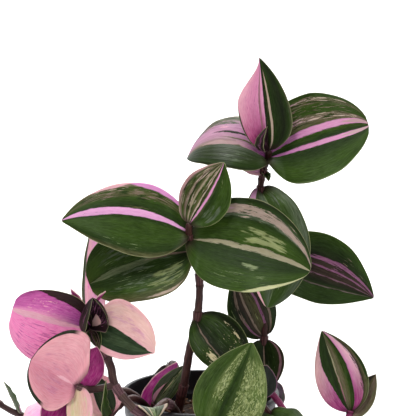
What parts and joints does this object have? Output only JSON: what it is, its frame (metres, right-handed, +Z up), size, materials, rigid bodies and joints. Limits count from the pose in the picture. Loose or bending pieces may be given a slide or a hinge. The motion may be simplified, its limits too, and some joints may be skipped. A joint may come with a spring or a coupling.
{
  "type": "potted tradescantia",
  "caption": "Variegated tradescantia with green, pink and cream striped leaves on jointed stems that stand and trail in a round dark nursery pot.",
  "frame": {"origin": "centre of the pot's flat underside", "axes": "+Z up, -Y towards the front, where the two tall stems and the largest leaves face"},
  "size_m": [0.2704, 0.1883, 0.2867],
  "materials": {
    "pot_plastic": "dark moulded plastic, slightly dusty and scuffed",
    "potting_soil": "moist potting mix of peat and bark with pale grains",
    "stem_skin": "smooth brown-purple stem with paler sheaths",
    "green_leaf": "satin green leaf with pink, cream and dusky stripes",
    "pink_leaf": "satin pink and magenta leaf with green bands"
  },
  "bodies": {
    "root": {"pot": "pot_plastic", "soil": "potting_soil", "stem_front_tall": "stem_skin", "stem_back_tall": "stem_skin", "stem_pink_left": "stem_skin", "stem_short_left": "stem_skin", "stem_front": "stem_skin", "stem_front_right": "stem_skin", "stem_right": "stem_skin", "stem_left": "stem_skin", "stem_front_left": "stem_skin", "stem_back_right": "stem_skin", "stem_back_left": "stem_skin", "leaf_front_tall_1": "green_leaf", "leaf_front_tall_2": "green_leaf", "leaf_front_tall_3": "green_leaf", "leaf_front_tall_4": "green_leaf", "leaf_front_tall_5": "green_leaf", "leaf_back_tall_1": "green_leaf", "leaf_back_tall_2": "green_leaf", "leaf_back_tall_3": "green_leaf", "leaf_back_tall_4": "green_leaf", "leaf_back_tall_5": "green_leaf", "leaf_back_tall_6": "green_leaf", "leaf_back_tall_7": "green_leaf", "leaf_pink_left_1": "pink_leaf", "leaf_pink_left_2": "pink_leaf", "leaf_pink_left_3": "pink_leaf", "leaf_pink_left_4": "green_leaf", "leaf_pink_side_1": "pink_leaf", "leaf_pink_side_2": "pink_leaf", "leaf_pink_side_3": "pink_leaf", "leaf_short_left_1": "pink_leaf", "leaf_short_left_2": "green_leaf", "leaf_front_1": "green_leaf", "leaf_front_2": "green_leaf", "leaf_front_3": "green_leaf", "leaf_front_right_1": "green_leaf", "leaf_front_right_2": "green_leaf", "leaf_front_right_3": "green_leaf", "leaf_front_right_4": "green_leaf", "leaf_right_1": "green_leaf", "leaf_right_2": "green_leaf", "leaf_right_3": "green_leaf", "leaf_right_4": "green_leaf", "leaf_left_1": "green_leaf", "leaf_left_2": "pink_leaf", "leaf_left_3": "green_leaf", "leaf_left_4": "green_leaf", "leaf_front_left_1": "pink_leaf", "leaf_front_left_2": "green_leaf", "leaf_front_left_3": "pink_leaf", "leaf_front_left_4": "green_leaf", "leaf_back_right_1": "green_leaf", "leaf_back_right_2": "green_leaf", "leaf_back_right_3": "green_leaf", "leaf_back_right_4": "green_leaf", "leaf_back_left_1": "green_leaf", "leaf_back_left_2": "green_leaf"}
  },
  "joints": []
}
